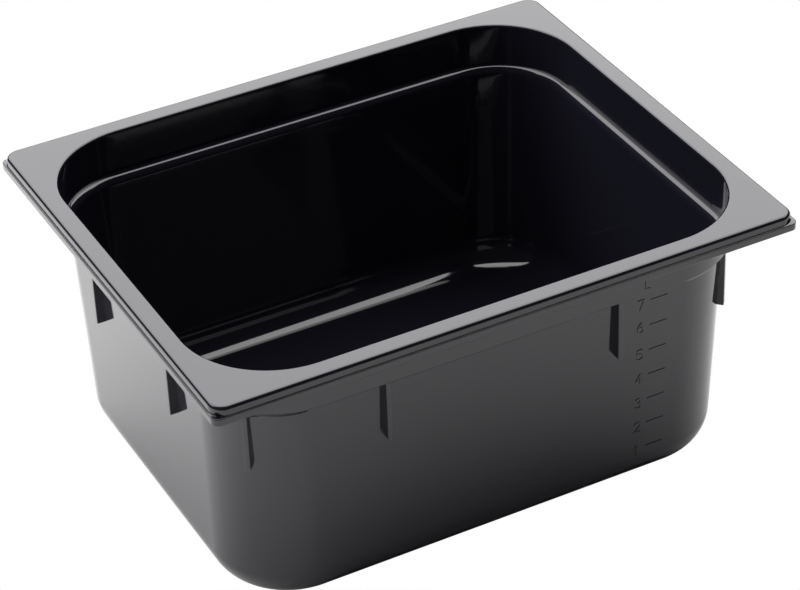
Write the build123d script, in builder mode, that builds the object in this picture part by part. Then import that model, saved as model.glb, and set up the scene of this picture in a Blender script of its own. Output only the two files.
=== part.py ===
"""Half-size gastronorm food pan, 150 mm class, a single moulding of gloss black polycarbonate.

The moulding is written out region by region: the vessel, the wider band above the stacking
shoulder, the flanged rim, the stacking ribs and the litre scale. The regions meet face to face.
X runs along the long side, Y along the short side, Z up, and the origin is under the middle of
the bottom. Millimetres throughout.
"""
from build123d import *
from math import atan, atan2, cos, degrees, hypot, pi, radians, sin
import os

# Rim
RIM_LENGTH = 325.0
RIM_WIDTH = 265.0
HEIGHT = 153.0
LIP_RADIUS = 4.0
LIP_TOP = HEIGHT - 4.8
LIP_BOTTOM = HEIGHT - 9.0
LIP_THICKNESS = 2.6
LIP_INNER_RADIUS = 1.6
LIP_EDGE_RADIUS = 0.6
PLATE_INSET = 1.0
PLATE_RADIUS = 8.0
PLATE_EDGE_RADIUS = 2.0
PLATE_THICKNESS = 3.0
MOUTH_EDGE_RADIUS = 1.4

# Mouth and upper band
MOUTH_LENGTH = 300.8
MOUTH_WIDTH = 240.8
MOUTH_RADIUS = 49.0
BAND_WALL = 2.0
LEDGE_HEIGHT = 128.4
LEDGE_ROUND = 4.5
SHOULDER_TOP = 127.4
SHOULDER_DROP = 3.9
BAND_BOTTOM = 122.0

# Vessel
VESSEL_LENGTH = 286.4
VESSEL_WIDTH = 226.4
VESSEL_RADIUS = 43.0
VESSEL_RADIUS_AT_BAND = 40.5
DRAFT_SLOPE = 0.028
WALL = 2.0
FLOOR_THICKNESS = 2.5
OUTER_FLOOR_ROUND = 20.5
INNER_FLOOR_ROUND = OUTER_FLOOR_ROUND - WALL

# Stacking ribs
RIB_THICKNESS = 2.8
RIB_FOOT = 91.5
RIB_PITCH_LONG = 131.0
RIB_PITCH_SHORT = 91.2
RIB_ROOT_DEPTH = 13.0
RIB_INSET = 1.9
RIB_CORNER_INSET = 1.3
RIB_TIP_ROUND = 0.35
RIB_FOOT_ROUND = 0.8

# Litre scale
SCALE_X = 79.8
FIRST_LITRE_HEIGHT = 23.2
LITRE_PITCH = 15.68
LITRE_MARKS = 7
DIGIT_STROKE = 0.7
EMBOSS = 0.3
TICK_LENGTH = 10.0
TICK_START = 5.6
TICK_LIFT = 1.4
LITRE_SIGN_HEIGHT = 134.0

PLATE_LENGTH = RIM_LENGTH - 2 * PLATE_INSET
PLATE_WIDTH = RIM_WIDTH - 2 * PLATE_INSET
PLATE_BOTTOM = HEIGHT - PLATE_THICKNESS
BAND_LENGTH = MOUTH_LENGTH + 2 * BAND_WALL
BAND_WIDTH = MOUTH_WIDTH + 2 * BAND_WALL
BAND_RADIUS = MOUTH_RADIUS + BAND_WALL
SHOULDER_BOTTOM = SHOULDER_TOP - SHOULDER_DROP


def vessel_growth(z):
    """How much longer and wider the drafted vessel is at height z than at the bottom."""
    return 2 * DRAFT_SLOPE * z


def vessel_radius(z):
    """Corner radius of the vessel's outside at height z; the corners tighten a little going up."""
    return VESSEL_RADIUS + (VESSEL_RADIUS_AT_BAND - VESSEL_RADIUS) * z / LEDGE_HEIGHT


def vessel_section(z, inset):
    """Rounded rectangle of the vessel at height z, moved in from the outside by inset."""
    growth = vessel_growth(z)
    RectangleRounded(
        VESSEL_LENGTH + growth - 2 * inset,
        VESSEL_WIDTH + growth - 2 * inset,
        vessel_radius(z) - inset,
    )


def section_plane(z):
    """Horizontal plane at height z."""
    return Plane.XY.offset(z)


# Outside of the vessel, filled, up to the band
with BuildPart() as vessel_outside:
    with BuildSketch(section_plane(0)):
        vessel_section(0, 0)
    with BuildSketch(section_plane(LEDGE_HEIGHT)):
        vessel_section(LEDGE_HEIGHT, 0)
    loft(ruled=True)
    fillet(vessel_outside.faces().sort_by(Axis.Z)[0].edges(), radius=OUTER_FLOOR_ROUND)

# Hollow of the vessel, from the floor to the ledge
with BuildPart() as vessel_hollow:
    with BuildSketch(section_plane(FLOOR_THICKNESS)):
        vessel_section(FLOOR_THICKNESS, WALL)
    with BuildSketch(section_plane(LEDGE_HEIGHT)):
        vessel_section(LEDGE_HEIGHT, WALL)
    loft(ruled=True)
    fillet(vessel_hollow.faces().sort_by(Axis.Z)[0].edges(), radius=INNER_FLOOR_ROUND)

# Outside of the band, filled, with its sloping underside
with BuildPart() as band_outside:
    with BuildSketch(section_plane(SHOULDER_BOTTOM)):
        vessel_section(SHOULDER_BOTTOM, 0)
    with BuildSketch(section_plane(SHOULDER_TOP)):
        RectangleRounded(BAND_LENGTH, BAND_WIDTH, BAND_RADIUS)
    loft(ruled=True)
    with BuildSketch(section_plane(SHOULDER_TOP)):
        RectangleRounded(BAND_LENGTH, BAND_WIDTH, BAND_RADIUS)
    extrude(amount=PLATE_BOTTOM - SHOULDER_TOP)

# The whole outside below the rim, filled: what the ribs and the scale stand on
with BuildPart() as outside:
    add(vessel_outside.part)
    split(bisect_by=section_plane(SHOULDER_BOTTOM), keep=Keep.BOTTOM)
    add(band_outside.part)

# Vessel: floor and drafted walls up to the band
with BuildPart() as tub:
    add(vessel_outside.part)
    add(vessel_hollow.part, mode=Mode.SUBTRACT)
    split(bisect_by=section_plane(BAND_BOTTOM), keep=Keep.BOTTOM)

# Upper band: the stub of vessel wall, the stacking ledge and the wider wall above it
with BuildPart() as upper_band:
    add(outside.part)
    split(bisect_by=section_plane(BAND_BOTTOM), keep=Keep.TOP)
    add(vessel_hollow.part, mode=Mode.SUBTRACT)
    with BuildSketch(section_plane(LEDGE_HEIGHT)):
        RectangleRounded(MOUTH_LENGTH, MOUTH_WIDTH, MOUTH_RADIUS)
    extrude(amount=HEIGHT - LEDGE_HEIGHT, mode=Mode.SUBTRACT)
    flat_faces = upper_band.faces().filter_by(Axis.Z)
    ledge = flat_faces.filter_by_position(Axis.Z, LEDGE_HEIGHT - 0.1, LEDGE_HEIGHT + 0.1)[0]
    fillet(ledge.inner_wires()[0].edges(), radius=LEDGE_ROUND)

# Rim: flat flange with a rounded edge, a lip standing out below it, open underneath
with BuildPart() as rim:
    with BuildSketch(section_plane(LIP_TOP)):
        RectangleRounded(PLATE_LENGTH, PLATE_WIDTH, PLATE_RADIUS)
    extrude(amount=HEIGHT - LIP_TOP)
    fillet(rim.faces().sort_by(Axis.Z)[-1].edges(), radius=PLATE_EDGE_RADIUS)
    with BuildSketch(section_plane(LIP_BOTTOM)):
        RectangleRounded(RIM_LENGTH, RIM_WIDTH, LIP_RADIUS)
    extrude(amount=LIP_TOP - LIP_BOTTOM)
    lip_edges = rim.edges().group_by(Axis.Z)[0]
    fillet(lip_edges, radius=LIP_EDGE_RADIUS)
    with BuildSketch(section_plane(LIP_BOTTOM)):
        RectangleRounded(
            RIM_LENGTH - 2 * LIP_THICKNESS,
            RIM_WIDTH - 2 * LIP_THICKNESS,
            LIP_INNER_RADIUS,
        )
    extrude(amount=PLATE_BOTTOM - LIP_BOTTOM, mode=Mode.SUBTRACT)
    with BuildSketch(section_plane(PLATE_BOTTOM)):
        RectangleRounded(MOUTH_LENGTH, MOUTH_WIDTH, MOUTH_RADIUS)
    extrude(amount=PLATE_THICKNESS, mode=Mode.SUBTRACT)
    mouth_edges = rim.faces().sort_by(Axis.Z)[-1].inner_wires()[0].edges()
    fillet(mouth_edges, radius=MOUTH_EDGE_RADIUS)

for name, region in {"tub": tub, "upper_band": upper_band, "rim": rim}.items():
    region.part.label = name


def stacking_rib(tip_x, tip_y, heading):
    """A rib whose outer face is centred on (tip_x, tip_y) and looks along heading, in degrees."""
    outward = Vector(cos(radians(heading)), sin(radians(heading)), 0)
    foot = Plane(origin=(tip_x, tip_y, RIB_FOOT), x_dir=outward, z_dir=(0, 0, 1))
    with BuildPart() as rib:
        with BuildSketch(foot):
            with Locations((-RIB_ROOT_DEPTH / 2, 0)):
                Rectangle(RIB_ROOT_DEPTH, RIB_THICKNESS)
        extrude(amount=SHOULDER_TOP - RIB_FOOT)
        tip = rib.faces().sort_by(Axis(foot.origin, outward))[-1]
        fillet(tip.edges().filter_by(Axis.Z), radius=RIB_TIP_ROUND)
        tip = rib.faces().sort_by(Axis(foot.origin, outward))[-1]
        fillet(tip.edges().sort_by(Axis.Z)[0], radius=RIB_FOOT_ROUND)
        add(vessel_outside.part, mode=Mode.SUBTRACT)
        add(band_outside.part, mode=Mode.SUBTRACT)
    return rib.part


rib_end_x = BAND_LENGTH / 2 - RIB_INSET
rib_side_y = BAND_WIDTH / 2 - RIB_INSET
long_x = RIB_PITCH_LONG / 2
short_y = RIB_PITCH_SHORT / 2
corner_reach = (BAND_RADIUS - RIB_CORNER_INSET) * cos(pi / 4)
corner_x = BAND_LENGTH / 2 - BAND_RADIUS + corner_reach
corner_y = BAND_WIDTH / 2 - BAND_RADIUS + corner_reach
ribs = {
    "rib_front_left": stacking_rib(-long_x, -rib_side_y, -90),
    "rib_front_right": stacking_rib(long_x, -rib_side_y, -90),
    "rib_back_left": mirror(stacking_rib(long_x, rib_side_y, 90), about=Plane.YZ),
    "rib_back_right": stacking_rib(long_x, rib_side_y, 90),
    "rib_left_front": stacking_rib(-rib_end_x, -short_y, 180),
    "rib_left_back": stacking_rib(-rib_end_x, short_y, 180),
    "rib_right_front": stacking_rib(rib_end_x, -short_y, 0),
    "rib_right_back": stacking_rib(rib_end_x, short_y, 0),
    "rib_corner_front_left": stacking_rib(-corner_x, -corner_y, -135),
    "rib_corner_front_right": stacking_rib(corner_x, -corner_y, -45),
    "rib_corner_back_left": stacking_rib(-corner_x, corner_y, 135),
    "rib_corner_back_right": stacking_rib(corner_x, corner_y, 45),
}


def bar(x1, y1, x2, y2):
    """Straight stroke with round ends from (x1, y1) to (x2, y2)."""
    with Locations(((x1 + x2) / 2, (y1 + y2) / 2)):
        heading = degrees(atan2(y2 - y1, x2 - x1))
        SlotCenterToCenter(hypot(x2 - x1, y2 - y1), DIGIT_STROKE, rotation=heading)


def bow(x, y, radius, start, sweep_angle):
    """Curved stroke round (x, y), from the angle start through sweep_angle, in degrees."""
    SlotArc(CenterArc((x, y), radius, start, sweep_angle), DIGIT_STROKE)


def draw_mark(mark):
    """Strokes of a numeral or of the litre sign, about 3.5 wide and 6 high, round its middle."""
    if mark == "1":
        bar(-1.2, 1.9, 0, 3)
        bar(0, 3, 0, -3)
    elif mark == "2":
        bow(0, 1.4, 1.6, 180, -215)
        bar(1.31, 0.48, -1.6, -3)
        bar(-1.6, -3, 1.7, -3)
    elif mark == "3":
        bow(0, 1.5, 1.4, 150, -240)
        bow(0, -1.5, 1.6, 90, -240)
    elif mark == "4":
        bar(0.9, -3, 0.9, 3)
        bar(0.9, 3, -1.8, -1.2)
        bar(-1.8, -1.2, 1.8, -1.2)
    elif mark == "5":
        bar(1.4, 3, -1.2, 3)
        bar(-1.2, 3, -1.4, -0.1)
        bow(0, -1.2, 1.8, 142, -280)
    elif mark == "6":
        Circle(1.7 + DIGIT_STROKE / 2)
        Circle(1.7 - DIGIT_STROKE / 2, mode=Mode.SUBTRACT)
        bow(2.6, 0.3, 4.3, 180, -65)
    elif mark == "7":
        bar(-1.7, 3, 1.7, 3)
        bar(1.7, 3, -0.6, -3)
    elif mark == "L":
        bar(-1.2, 3, -1.2, -3)
        bar(-1.2, -3, 1.5, -3)


def front_wall_plane(x, z):
    """Plane lying on the drafted front wall at (x, z), looking outwards, with its y going up."""
    tilt = atan(DRAFT_SLOPE)
    wall_y = -(VESSEL_WIDTH / 2 + DRAFT_SLOPE * z)
    return Plane(origin=(x, wall_y, z), x_dir=(1, 0, 0), z_dir=(0, -cos(tilt), -sin(tilt)))


marks = {}
for mark in "1234567L":
    with BuildSketch(Plane.XY) as glyph:
        draw_mark(mark)
    marks[mark] = glyph.sketch

# Litre scale: raised numerals and ticks on the front wall, and the litre sign on the band
with BuildPart() as litre_scale:
    for litre in range(1, LITRE_MARKS + 1):
        mark_z = FIRST_LITRE_HEIGHT + (litre - 1) * LITRE_PITCH
        with BuildSketch(front_wall_plane(SCALE_X, mark_z)):
            add(marks[str(litre)])
            with Locations((TICK_START + TICK_LENGTH / 2, TICK_LIFT)):
                Rectangle(TICK_LENGTH, DIGIT_STROKE)
        extrude(amount=EMBOSS)
    band_front = Plane(
        origin=(SCALE_X, -BAND_WIDTH / 2, LITRE_SIGN_HEIGHT),
        x_dir=(1, 0, 0),
        z_dir=(0, -1, 0),
    )
    with BuildSketch(band_front):
        add(marks["L"])
    extrude(amount=EMBOSS)
litre_scale.part.label = "litre_scale"

# One STEP file for each region
nodes = {"tub": tub.part, "upper_band": upper_band.part, "rim": rim.part, "litre_scale": litre_scale.part}
nodes.update(ribs)
os.makedirs("parts", exist_ok=True)
for name, solid in nodes.items():
    solid.label = name
    export_step(solid, f"parts/{name}.step")
    print(name, "volume", round(solid.volume), "mm3")
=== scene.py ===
# %% [markdown]
# # A deli food pan in gloss black plastic
# The pan is a half-size gastronorm pan: one moulding with a flanged rim, a stacking ledge inside,
# stacking ribs outside and a litre scale on one wall. The measured model comes in first and is
# never moved. The large smooth regions are then rebuilt as clean quads, because gloss black shows
# every flaw of a surface in its reflections, and a loose triangle mesh has many.

# %% Load the measured model
from math import atan, cos, pi, radians, sin

import bmesh
import bpy
from mathutils import Matrix, Vector


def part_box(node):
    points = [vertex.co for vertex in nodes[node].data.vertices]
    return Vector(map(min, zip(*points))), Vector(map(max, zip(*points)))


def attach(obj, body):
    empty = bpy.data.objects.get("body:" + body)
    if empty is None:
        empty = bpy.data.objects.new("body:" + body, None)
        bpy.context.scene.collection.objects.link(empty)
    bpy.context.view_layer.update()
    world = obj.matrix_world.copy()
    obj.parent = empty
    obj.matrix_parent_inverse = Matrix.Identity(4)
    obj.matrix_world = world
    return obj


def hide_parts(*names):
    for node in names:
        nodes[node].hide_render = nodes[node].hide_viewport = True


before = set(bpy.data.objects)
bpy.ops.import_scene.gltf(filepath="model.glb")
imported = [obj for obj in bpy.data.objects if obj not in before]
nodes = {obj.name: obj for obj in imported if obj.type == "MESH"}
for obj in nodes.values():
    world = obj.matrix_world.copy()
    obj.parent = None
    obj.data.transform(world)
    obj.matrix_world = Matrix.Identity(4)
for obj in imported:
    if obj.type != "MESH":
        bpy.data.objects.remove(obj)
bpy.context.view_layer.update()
print("regions of the moulding:", sorted(nodes))

# %% [markdown]
# ## The pan's sizes
# A moulding like this is drawn as a set of horizontal sections, each a rectangle with round
# corners. The overall sizes are read from the measured model, and the rest are the drawing's own
# values. Everything here is in metres, so a short factor keeps the numbers in millimetres.

# %% Sizes
MM = 0.001
rim_low, rim_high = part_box("rim")
band_low, band_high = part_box("upper_band")
LIP_X, LIP_Y = rim_high.x, rim_high.y
TOP = rim_high.z
LIP_BOTTOM = rim_low.z
LIP_TOP = TOP - 4.8 * MM
LIP_RADIUS = 4.0 * MM
LIP_THICKNESS = 2.6 * MM
LIP_INNER_RADIUS = 1.6 * MM
LIP_TOP_ROUND = 0.45 * MM
LIP_BOTTOM_ROUND = 0.6 * MM
PLATE_INSET = 1.0 * MM
PLATE_RADIUS = 8.0 * MM
PLATE_ROUND = 2.0 * MM
PLATE_THICKNESS = 3.0 * MM
PLATE_BOTTOM = TOP - PLATE_THICKNESS

BAND_X, BAND_Y = band_high.x, band_high.y
BAND_WALL = 2.0 * MM
BAND_RADIUS = 51.0 * MM
BAND_BOTTOM = band_low.z
MOUTH_X, MOUTH_Y = BAND_X - BAND_WALL, BAND_Y - BAND_WALL
MOUTH_RADIUS = BAND_RADIUS - BAND_WALL
MOUTH_ROUND = 1.4 * MM
LEDGE_HEIGHT = 128.4 * MM
LEDGE_ROUND = 4.5 * MM
SHOULDER_TOP = 127.4 * MM
SHOULDER_BOTTOM = 123.5 * MM
SHOULDER_ROUND = 0.6 * MM

VESSEL_X, VESSEL_Y = 143.2 * MM, 113.2 * MM
VESSEL_RADIUS = 43.0 * MM
VESSEL_RADIUS_AT_LEDGE = 40.5 * MM
DRAFT = 0.028
WALL = 2.0 * MM
FLOOR = 2.5 * MM
OUTER_FLOOR_ROUND = 20.5 * MM
INNER_FLOOR_ROUND = OUTER_FLOOR_ROUND - WALL
print("rim", round(2 * LIP_X / MM), "by", round(2 * LIP_Y / MM), "mm, height", round(TOP / MM), "mm")

# %% [markdown]
# ## One section, and a skin over many sections
# A section starts as a plain four-sided grid face. A vertex bevel with a profile of 0.5 turns its
# corners into true quarter circles, and the face is then thrown away so that only its outline is
# left. Every outline has the same number of points, so bridging one to the next gives long clean
# quads. Lofting a curve would do it too, but bridged outlines keep the flat walls exactly flat.
# The outlines are bridged in an evenly spaced stack and only then moved to their own heights:
# two outlines at one height would leave the bridge no direction to follow, and it would twist.

# %% Section and skin helpers
CORNER_SEGMENTS = 24
SHARP_ANGLE = radians(50)
STACK_PITCH = 10 * MM


def outline(mesh, half_x, half_y, radius, z):
    """Edges of a horizontal rectangle with round corners."""
    place = Matrix.Translation((0, 0, z)) @ Matrix.Diagonal((half_x, half_y, 1, 1))
    corners = bmesh.ops.create_grid(mesh, x_segments=1, y_segments=1, size=1, matrix=place)["verts"]
    bmesh.ops.bevel(mesh, geom=corners, offset=radius, segments=CORNER_SEGMENTS, profile=0.5,
                    affect="VERTICES", material=-1)
    face = next(iter(mesh.faces))
    edges = list(face.edges)
    bmesh.ops.delete(mesh, geom=[face], context="FACES_ONLY")
    return edges


def moulded_skin(name, sections, capped):
    """A closed piece through all sections: capped at both ends, or a ring whose ends meet."""
    mesh = bmesh.new()
    rings = []
    for step, (half_x, half_y, radius, z) in enumerate(sections):
        rings.append(outline(mesh, half_x, half_y, radius, step * STACK_PITCH))
    pairs = list(zip(rings, rings[1:]))
    if not capped:
        pairs.append((rings[-1], rings[0]))
    for lower, upper in pairs:
        bmesh.ops.bridge_loops(mesh, edges=lower + upper)
    if capped:
        bmesh.ops.edgeloop_fill(mesh, edges=rings[0])
        bmesh.ops.edgeloop_fill(mesh, edges=rings[-1])
    for step, (ring, section) in enumerate(zip(rings, sections)):
        corners = list({corner for edge in ring for corner in edge.verts})
        bmesh.ops.translate(mesh, verts=corners, vec=(0, 0, section[3] - step * STACK_PITCH))
    bmesh.ops.recalc_face_normals(mesh, faces=mesh.faces)
    for face in mesh.faces:
        face.smooth = True
    for edge in mesh.edges:
        edge.smooth = edge.calc_face_angle(0) < SHARP_ANGLE
    volume = mesh.calc_volume(signed=True)
    data = bpy.data.meshes.new(name)
    mesh.to_mesh(data)
    mesh.free()
    piece = bpy.data.objects.new(name, data)
    bpy.context.collection.objects.link(piece)
    weighted = piece.modifiers.new("flat walls stay flat", "WEIGHTED_NORMAL")
    weighted.mode = "FACE_AREA"
    weighted.weight = 100
    weighted.keep_sharp = True
    litres = round(volume / MM**3 / 1e6, 3)
    print(name, len(sections), "sections,", len(data.polygons), "faces,", litres, "litres of plastic")
    return piece


def quarter(start, end, steps):
    """Angles from start to end, in equal steps, both ends included."""
    return [start + (end - start) * step / steps for step in range(steps + 1)]


print("each round corner has", CORNER_SEGMENTS, "steps")


# %% [markdown]
# ## The vessel
# The walls lean out a little so that the part leaves its mould, and the corners tighten slightly
# towards the top. The floor runs into the walls through a large rounding, which is what makes
# the bright curved band at the bottom of the hollow. A section is given by how far it stands
# outside the vessel's foot, and its corner radius follows from that.

# %% Vessel piece
DRAFT_ANGLE = atan(DRAFT)
FLOOR_ROUND_STEPS = 14


def vessel_section(out, z):
    """Section that stands out metres outside the vessel's size at the bottom."""
    wall_radius = VESSEL_RADIUS + (VESSEL_RADIUS_AT_LEDGE - VESSEL_RADIUS) * z / LEDGE_HEIGHT
    return VESSEL_X + out, VESSEL_Y + out, wall_radius + out - DRAFT * z, z


def floor_rounding(wall_out, floor_z, radius):
    """Sections from a flat floor up into a drafted wall, tangent to both."""
    middle_z = floor_z + radius
    middle_out = wall_out + DRAFT * middle_z - radius / cos(DRAFT_ANGLE)
    return [
        vessel_section(middle_out + radius * cos(a), middle_z + radius * sin(a))
        for a in quarter(-pi / 2, -DRAFT_ANGLE, FLOOR_ROUND_STEPS)
    ]


outer_wall = floor_rounding(0, 0, OUTER_FLOOR_ROUND)
inner_wall = floor_rounding(-WALL, FLOOR, INNER_FLOOR_ROUND)
outer_top = vessel_section(DRAFT * BAND_BOTTOM, BAND_BOTTOM)
inner_top = vessel_section(DRAFT * BAND_BOTTOM - WALL, BAND_BOTTOM)
tub = moulded_skin("tub_shell", outer_wall + [outer_top, inner_top] + inner_wall[::-1], capped=True)

# %% [markdown]
# ## The upper band and its stacking ledge
# Above the ledge the pan is wider, so that a second pan can drop in and rest there. Inside, the
# ledge is a narrow flat that rolls over into the wall below. Outside, the same step is a
# sloping shoulder, whose edge is eased by a narrow slanted section. The band is a ring, so its
# sections come back to where they began.

# %% Upper band piece
LEDGE_ROUND_STEPS = 10
EDGE_STEPS = 4


def level(half_x, half_y, radius, inset, z):
    """Section moved in by inset from a rounded rectangle, at height z."""
    return half_x - inset, half_y - inset, radius - inset, z


def ledge_rounding():
    """Sections from the wall below the ledge up and over to its flat."""
    middle_z = LEDGE_HEIGHT - LEDGE_ROUND
    middle_out = -WALL + DRAFT * middle_z + LEDGE_ROUND / cos(DRAFT_ANGLE)
    return [
        vessel_section(middle_out + LEDGE_ROUND * cos(a), middle_z + LEDGE_ROUND * sin(a))
        for a in quarter(pi - DRAFT_ANGLE, pi / 2, LEDGE_ROUND_STEPS)
    ]


band = (BAND_X, BAND_Y, BAND_RADIUS)
shoulder_edge = [
    level(*band, SHOULDER_ROUND, SHOULDER_TOP),
    level(*band, SHOULDER_ROUND * 0.3, SHOULDER_TOP + SHOULDER_ROUND * 0.3),
    level(*band, 0, SHOULDER_TOP + SHOULDER_ROUND),
]
band_sections = (
    [outer_top, vessel_section(DRAFT * SHOULDER_BOTTOM, SHOULDER_BOTTOM)]
    + shoulder_edge
    + [level(*band, 0, PLATE_BOTTOM), level(*band, BAND_WALL, PLATE_BOTTOM)]
    + [level(*band, BAND_WALL, LEDGE_HEIGHT)]
    + ledge_rounding()[::-1]
    + [inner_top]
)
upper_band = moulded_skin("band_shell", band_sections, capped=False)

# %% [markdown]
# ## The rim
# The rim is a flat flange with a soft outer edge, and a lip that stands out below it and turns
# down. Each rounding is worked out as a quarter circle of sections. Bevelling the finished mesh
# would also round the edges, but worked-out sections give the same even arc all the way round.

# %% Rim piece
PLATE_STEPS = 8
plate = (LIP_X - PLATE_INSET, LIP_Y - PLATE_INSET, PLATE_RADIUS)
lip = (LIP_X, LIP_Y, LIP_RADIUS)
lip_inside = (LIP_X - LIP_THICKNESS, LIP_Y - LIP_THICKNESS, LIP_INNER_RADIUS)
mouth = (MOUTH_X, MOUTH_Y, MOUTH_RADIUS)
ROOT_ROUND = 0.4 * MM


def outside_round(base, radius, z_middle, start, end, steps):
    """Quarter-round on the outside edge of base, whose centre is inside by radius."""
    return [
        level(*base, radius * (1 - cos(a)), z_middle + radius * sin(a))
        for a in quarter(start, end, steps)
    ]


def mouth_round(base, radius, z_middle, start, end, steps):
    """Quarter-round on the inside edge of a mouth, whose centre is outside by radius."""
    return [
        level(*base, -radius * (1 - cos(a)), z_middle + radius * sin(a))
        for a in quarter(start, end, steps)
    ]


rim_sections = (
    [level(*mouth, 0, PLATE_BOTTOM)]
    + mouth_round(mouth, MOUTH_ROUND, TOP - MOUTH_ROUND, 0, pi / 2, PLATE_STEPS)
    + outside_round(plate, PLATE_ROUND, TOP - PLATE_ROUND, pi / 2, 0, PLATE_STEPS)
    + [level(*plate, 0, LIP_TOP + ROOT_ROUND), level(*plate, -ROOT_ROUND, LIP_TOP)]
    + outside_round(lip, LIP_TOP_ROUND, LIP_TOP - LIP_TOP_ROUND, pi / 2, 0, EDGE_STEPS)
    + outside_round(lip, LIP_BOTTOM_ROUND, LIP_BOTTOM + LIP_BOTTOM_ROUND, 0, -pi / 2, EDGE_STEPS)
    + [level(*lip_inside, 0, LIP_BOTTOM), level(*lip_inside, 0, PLATE_BOTTOM)]
)
rim = moulded_skin("rim_shell", rim_sections, capped=False)

# %% [markdown]
# ## Gloss black plastic
# The pan is dyed-through polycarbonate from a polished mould. Nearly all that shows is
# reflection, so the colour is almost black with a faint blue, and the work is in the gloss. A
# shared group gives the slight unevenness of a moulded face: a slow swell as the plastic cools,
# a fine grain, and a faint haze where hands and washing have dulled it.

# %% Shared moulded-surface group
def socket(group, name, kind, side, value=None):
    """Adds one named socket to a node group."""
    made = group.interface.new_socket(name=name, in_out=side, socket_type=kind)
    if value is not None:
        made.default_value = value
    return made


def moulded_surface_group():
    """Node group: position in, roughness and bump height out."""
    group = bpy.data.node_groups.new("moulded_surface", "ShaderNodeTree")
    socket(group, "Position", "NodeSocketVector", "INPUT")
    socket(group, "Polish", "NodeSocketFloat", "INPUT", 0.06)
    socket(group, "Haze", "NodeSocketFloat", "INPUT", 0.05)
    socket(group, "Roughness", "NodeSocketFloat", "OUTPUT")
    socket(group, "Height", "NodeSocketFloat", "OUTPUT")
    link = group.links.new
    start = group.nodes.new("NodeGroupInput")
    end = group.nodes.new("NodeGroupOutput")
    haze = group.nodes.new("ShaderNodeTexNoise")
    haze.inputs["Scale"].default_value = 28
    haze.inputs["Detail"].default_value = 6
    haze.inputs["Roughness"].default_value = 0.62
    link(start.outputs["Position"], haze.inputs["Vector"])
    spread = group.nodes.new("ShaderNodeMapRange")
    spread.inputs["From Min"].default_value = 0.42
    spread.inputs["From Max"].default_value = 0.75
    link(haze.outputs["Fac"], spread.inputs["Value"])
    amount = group.nodes.new("ShaderNodeMath")
    amount.operation = "MULTIPLY_ADD"
    link(spread.outputs["Result"], amount.inputs[0])
    link(start.outputs["Haze"], amount.inputs[1])
    link(start.outputs["Polish"], amount.inputs[2])
    link(amount.outputs[0], end.inputs["Roughness"])
    swell = group.nodes.new("ShaderNodeTexNoise")
    swell.inputs["Scale"].default_value = 9
    swell.inputs["Detail"].default_value = 1
    link(start.outputs["Position"], swell.inputs["Vector"])
    grain = group.nodes.new("ShaderNodeTexNoise")
    grain.inputs["Scale"].default_value = 900
    grain.inputs["Detail"].default_value = 2
    link(start.outputs["Position"], grain.inputs["Vector"])
    height = group.nodes.new("ShaderNodeMath")
    height.operation = "MULTIPLY_ADD"
    height.inputs[1].default_value = 0.004
    link(grain.outputs["Fac"], height.inputs[0])
    link(swell.outputs["Fac"], height.inputs[2])
    link(height.outputs[0], end.inputs["Height"])
    return group


moulded_surface = moulded_surface_group()
print("group outputs:", [s.name for s in moulded_surface.interface.items_tree if s.in_out == "OUTPUT"])

# %% Black plastic materials
BLACK = (0.0082, 0.0080, 0.0128, 1)
POLYCARBONATE_IOR = 1.585


def black_plastic(name, polish, haze):
    """Gloss black plastic; polish is the roughness of clean spots, haze how much is added."""
    material = bpy.data.materials.new(name)
    material.use_nodes = True
    tree = material.node_tree
    link = tree.links.new
    shader = tree.nodes["Principled BSDF"]
    shader.inputs["IOR"].default_value = POLYCARBONATE_IOR
    place = tree.nodes.new("ShaderNodeTexCoord")
    surface = tree.nodes.new("ShaderNodeGroup")
    surface.node_tree = moulded_surface
    surface.inputs["Polish"].default_value = polish
    surface.inputs["Haze"].default_value = haze
    link(place.outputs["Object"], surface.inputs["Position"])
    link(surface.outputs["Roughness"], shader.inputs["Roughness"])
    tint = tree.nodes.new("ShaderNodeTexNoise")
    tint.inputs["Scale"].default_value = 14
    link(place.outputs["Object"], tint.inputs["Vector"])
    colour = tree.nodes.new("ShaderNodeValToRGB")
    colour.color_ramp.elements[0].color = BLACK
    colour.color_ramp.elements[1].color = tuple(c * 1.25 for c in BLACK[:3]) + (1,)
    link(tint.outputs["Fac"], colour.inputs["Fac"])
    link(colour.outputs["Color"], shader.inputs["Base Color"])
    bump = tree.nodes.new("ShaderNodeBump")
    bump.inputs["Strength"].default_value = 0.12
    bump.inputs["Distance"].default_value = 0.3 * MM
    link(surface.outputs["Height"], bump.inputs["Height"])
    link(bump.outputs["Normal"], shader.inputs["Normal"])
    return material


pan_plastic = black_plastic("pan_plastic", polish=0.055, haze=0.03)
rib_plastic = black_plastic("rib_plastic", polish=0.08, haze=0.04)
scale_plastic = black_plastic("scale_plastic", polish=0.06, haze=0.02)
print("materials:", [m.name for m in (pan_plastic, rib_plastic, scale_plastic)])

# %% [markdown]
# ## Put the pieces in the frame
# Each rebuilt region stands for the measured one of the same place. The ribs and the numerals
# are kept as measured, because they are small, crisp and already right, and only get the finish.

# %% Attach pieces and finishes
for piece, node in ((tub, "tub"), (upper_band, "upper_band"), (rim, "rim")):
    piece.data.materials.append(pan_plastic)
    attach(piece, "root")
    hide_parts(node)
for name, node in nodes.items():
    if name.startswith("rib_"):
        node.material_slots[0].material = rib_plastic
nodes["litre_scale"].material_slots[0].material = scale_plastic
print("ribs with the finish:", sum(name.startswith("rib_") for name in nodes))

# %% [markdown]
# ## Floor
# A pale matt table, large enough to fill every view. The pan's outer walls look down on it, so
# the light and shade on the table is what draws them. Seen directly, the table is shown as an
# even white, as a studio does by exposing it away. It lies a hair below the pan's base, because
# two faces in the same plane flicker.

# %% Floor
FLOOR_SIZE = 9.0
FLOOR_GAP = 0.2 * MM


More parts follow.
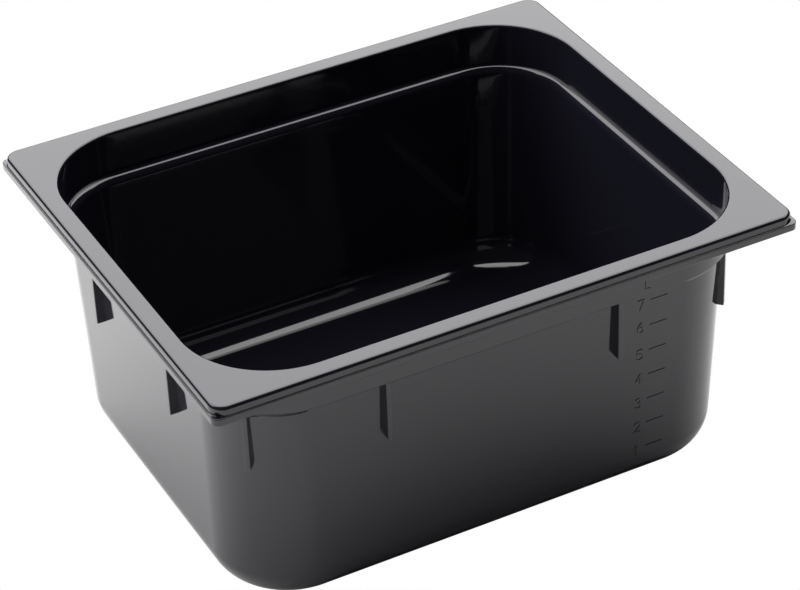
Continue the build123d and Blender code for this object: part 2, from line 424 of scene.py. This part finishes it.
def pale_floor():
    """Matt pale table that the camera sees as an even white."""
    material = bpy.data.materials.new("pale_table")
    material.use_nodes = True
    tree = material.node_tree
    shader = tree.nodes["Principled BSDF"]
    shader.inputs["Roughness"].default_value = 0.9
    shader.inputs["Specular IOR Level"].default_value = 0.1
    place = tree.nodes.new("ShaderNodeTexCoord")
    mottle = tree.nodes.new("ShaderNodeTexNoise")
    mottle.inputs["Scale"].default_value = 6
    colour = tree.nodes.new("ShaderNodeValToRGB")
    colour.color_ramp.elements[0].color = (0.84, 0.84, 0.84, 1)
    colour.color_ramp.elements[1].color = (0.88, 0.88, 0.88, 1)
    white = tree.nodes.new("ShaderNodeEmission")
    white.inputs["Strength"].default_value = 1.0
    seen = tree.nodes.new("ShaderNodeLightPath")
    either = tree.nodes.new("ShaderNodeMixShader")
    tree.links.new(place.outputs["Object"], mottle.inputs["Vector"])
    tree.links.new(mottle.outputs["Fac"], colour.inputs["Fac"])
    tree.links.new(colour.outputs["Color"], shader.inputs["Base Color"])
    tree.links.new(seen.outputs["Is Camera Ray"], either.inputs["Fac"])
    tree.links.new(shader.outputs["BSDF"], either.inputs[1])
    tree.links.new(white.outputs["Emission"], either.inputs[2])
    tree.links.new(either.outputs["Shader"], tree.nodes["Material Output"].inputs["Surface"])
    mesh = bmesh.new()
    bmesh.ops.create_grid(mesh, x_segments=1, y_segments=1, size=FLOOR_SIZE)
    bmesh.ops.translate(mesh, verts=mesh.verts, vec=(0, 0, -FLOOR_GAP))
    data = bpy.data.meshes.new("table")
    mesh.to_mesh(data)
    mesh.free()
    table = bpy.data.objects.new("table", data)
    bpy.context.collection.objects.link(table)
    data.materials.append(material)
    return table


table = pale_floor()
print("table", 2 * FLOOR_SIZE, "m square")

# %% [markdown]
# ## Studio light
# One very large softbox hangs behind the pan and reaches forward to just over it. The flange, the
# ledge and the curved floor edge show it by reflection. It leaves the table in front of the pan
# in shade, which is why the front wall is so dark, while the table on the left stays bright.

# %% Softbox and room
def softbox(name, near_edge, far_edge, width, heading, radiance):
    """Rectangular panel from near_edge to far_edge, each (distance, height) along a heading."""
    along = Vector((sin(heading), cos(heading), 0))
    near = along * near_edge[0] + Vector((0, 0, near_edge[1]))
    far = along * far_edge[0] + Vector((0, 0, far_edge[1]))
    length = (far - near).length
    panel = bpy.data.lights.new(name, "AREA")
    panel.shape = "RECTANGLE"
    panel.size = width
    panel.size_y = length
    panel.energy = radiance * pi * width * length
    light = bpy.data.objects.new(name, panel)
    across = Vector((cos(heading), -sin(heading), 0))
    up = (far - near).normalized()
    facing = across.cross(up)
    turn = Matrix((across, up, facing)).transposed().to_4x4()
    light.matrix_world = Matrix.Translation((near + far) / 2) @ turn
    light.visible_camera = False
    bpy.context.collection.objects.link(light)
    return light


overhead = softbox("overhead softbox", near_edge=(-0.05, 1.8), far_edge=(3.0, 1.2), width=3.4,
                   heading=radians(22), radiance=3.9)
side = softbox("left softbox", near_edge=(1.3, 1.2), far_edge=(2.6, 0.9), width=2.6,
               heading=radians(-62), radiance=6.0)
side.visible_glossy = False
world = bpy.data.worlds.new("room")
world.use_nodes = True
world.node_tree.nodes["Background"].inputs["Color"].default_value = (0.025, 0.025, 0.027, 1)
bpy.context.scene.world = world
bpy.context.scene.view_settings.view_transform = "Standard"
print("softbox powers", round(overhead.data.energy), "and", round(side.data.energy), "W")

# %% [markdown]
# ## Camera
# A long lens from the front left, a good arm's length above the pan. The camera is aimed at a
# point on the rim's plane and leans over by a couple of degrees, and a small shift finishes the
# framing.

# %% Camera
CAMERA_PLACE = Vector((-0.5737, -1.1459, 0.9696))
CAMERA_AIM = Vector((-0.0534, -0.1107, 0.1530))
CAMERA_LEAN = radians(-2.43)
camera_data = bpy.data.cameras.new("camera")
camera_data.lens = 132.95
camera_data.sensor_width = 36
camera_data.shift_x = 0.0007
camera_data.shift_y = 0.0315
camera = bpy.data.objects.new("camera", camera_data)
bpy.context.collection.objects.link(camera)
aim = (CAMERA_AIM - CAMERA_PLACE).to_track_quat("-Z", "Y").to_matrix().to_4x4()
camera.matrix_world = Matrix.Translation(CAMERA_PLACE) @ aim @ Matrix.Rotation(CAMERA_LEAN, 4, "Z")
bpy.context.scene.camera = camera
print("camera", round((CAMERA_AIM - CAMERA_PLACE).length, 2), "m from the rim")
